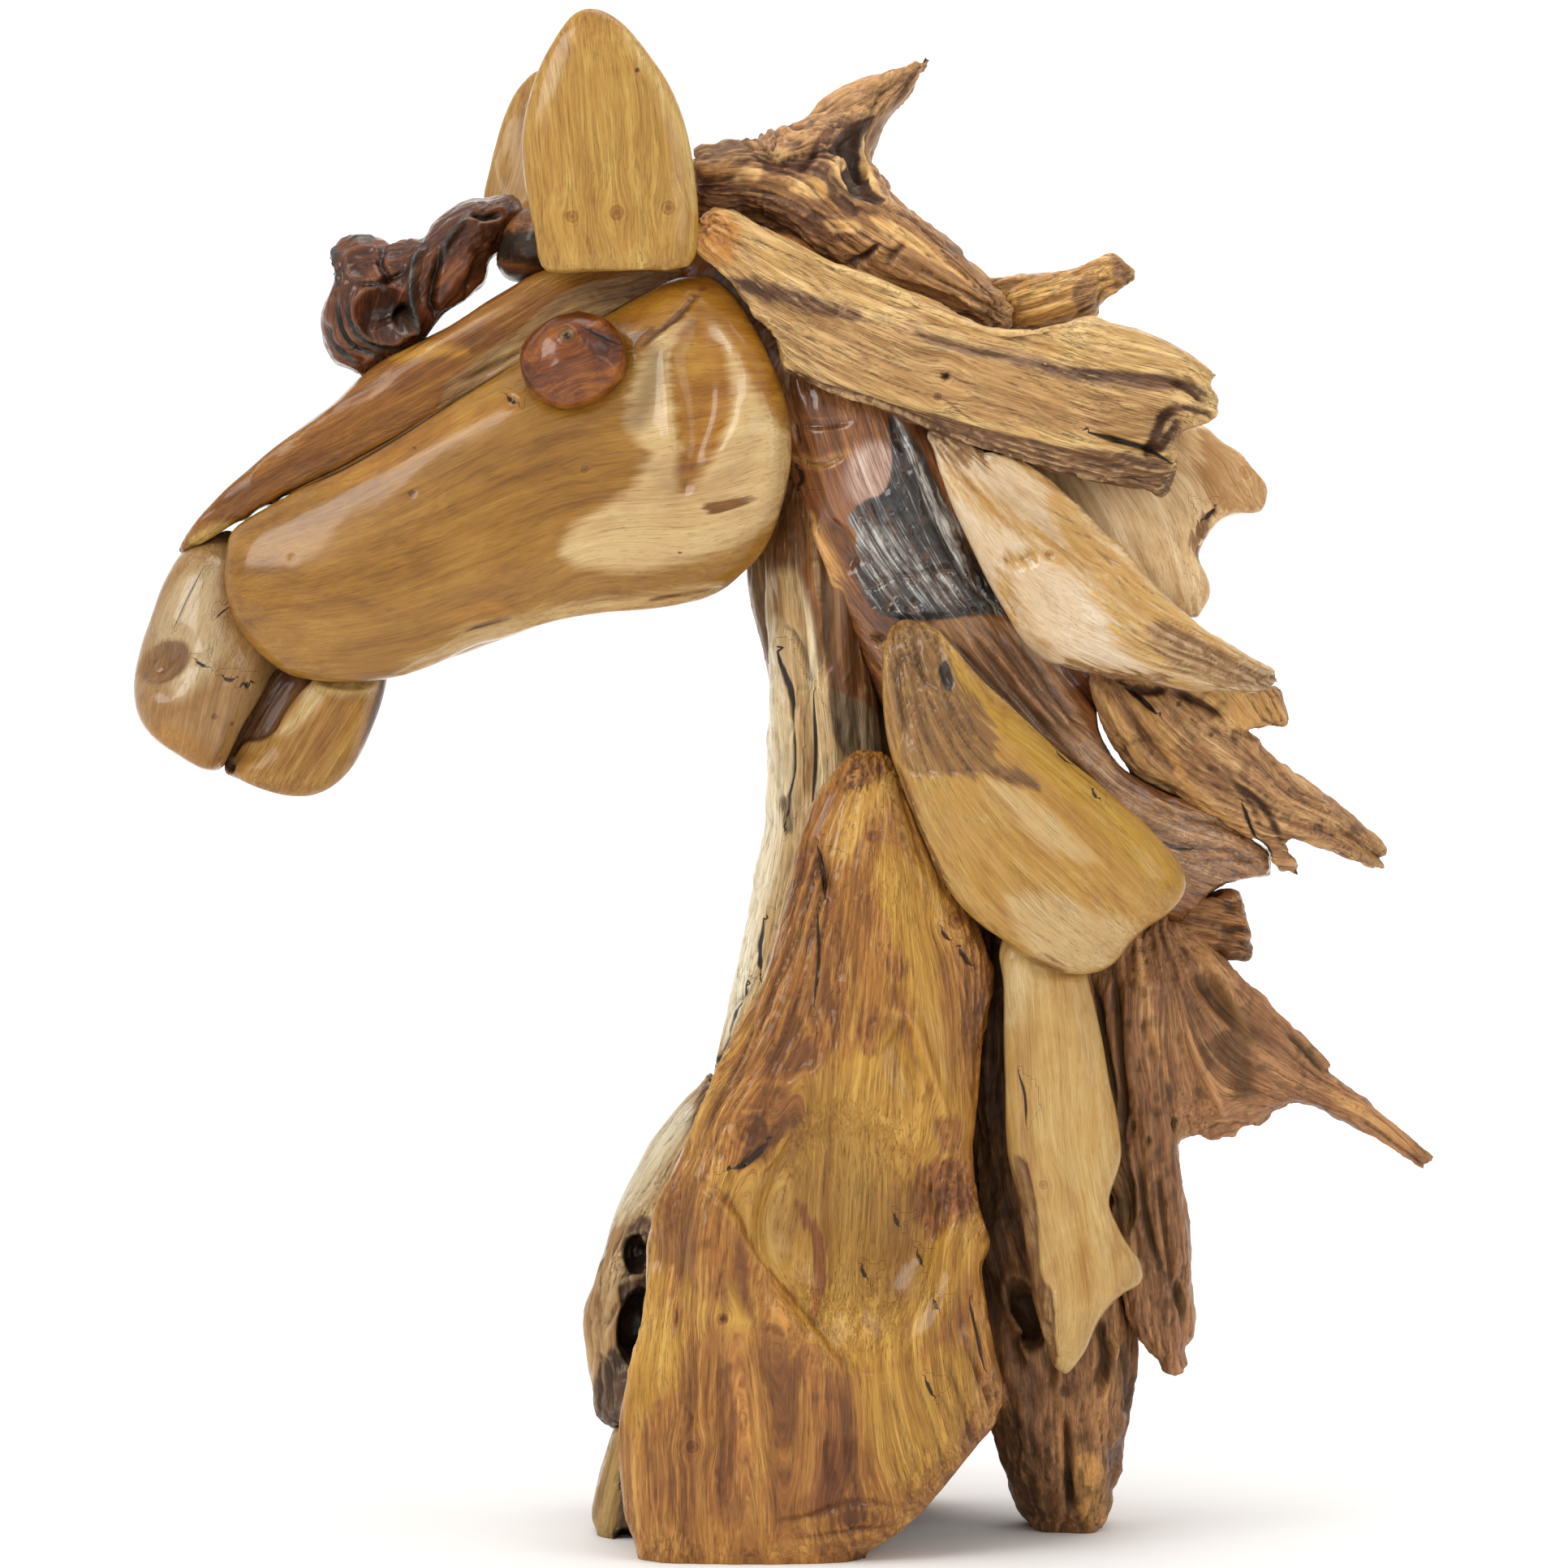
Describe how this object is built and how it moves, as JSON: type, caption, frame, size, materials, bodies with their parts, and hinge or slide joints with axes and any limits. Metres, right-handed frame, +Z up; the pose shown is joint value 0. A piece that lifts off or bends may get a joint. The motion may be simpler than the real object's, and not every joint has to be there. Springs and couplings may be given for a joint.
{
  "type": "driftwood horse head sculpture",
  "caption": "Standing horse head and neck sculpture made of driftwood and root pieces fixed together, with a forked mane and a flat-footed chest.",
  "frame": {"origin": "middle of the sculpture's box, on the floor it stands on", "axes": "+Z up, the horse looks towards -X, the side seen in the picture faces -Y"},
  "size_m": [0.7929, 0.2886, 0.9215],
  "materials": {
    "pale_wood": "pale sapwood, satin lacquer",
    "straw_wood": "straw-coloured wood with brown streaks, satin lacquer",
    "golden_wood": "golden wood, satin lacquer",
    "honey_wood": "honey-brown wood, satin lacquer",
    "brown_wood": "brown wood with weathered streaks, satin",
    "red_root": "reddish root wood with charred grooves, lacquered",
    "brown_root": "weathered fluted root wood, low satin",
    "dark_root": "dark gnarled root wood, low satin",
    "eye_burl": "polished red-brown burl, glossy"
  },
  "bodies": {
    "root": {"eye_near": "eye_burl", "eye_far": "eye_burl", "ear_near": "golden_wood", "ear_far": "golden_wood", "cheek_near": "honey_wood", "cheek_far": "honey_wood", "chest_slab_near": "honey_wood", "chest_slab_far": "brown_wood", "neck_slab_near": "golden_wood", "neck_slab_far": "honey_wood", "crest_slab_near": "straw_wood", "crest_slab_far": "straw_wood", "mane_blade_near": "pale_wood", "mane_blade_far": "pale_wood", "mane_board_near": "pale_wood", "mane_board_far": "straw_wood", "forelock": "dark_root", "forehead_plank": "brown_wood", "muzzle": "pale_wood", "chin": "golden_wood", "poll_block": "dark_root", "jaw_bar": "brown_wood", "crest_horn": "honey_wood", "crest_spur": "brown_wood", "neck_trunk": "red_root", "mane_claw": "brown_root", "mane_flap": "pale_wood", "mane_stub": "brown_wood", "mane_root_fan": "brown_root", "throat_front": "straw_wood", "throat_far": "straw_wood", "chest_front": "straw_wood", "front_foot": "golden_wood", "lower_trunk": "brown_root"}
  },
  "joints": []
}
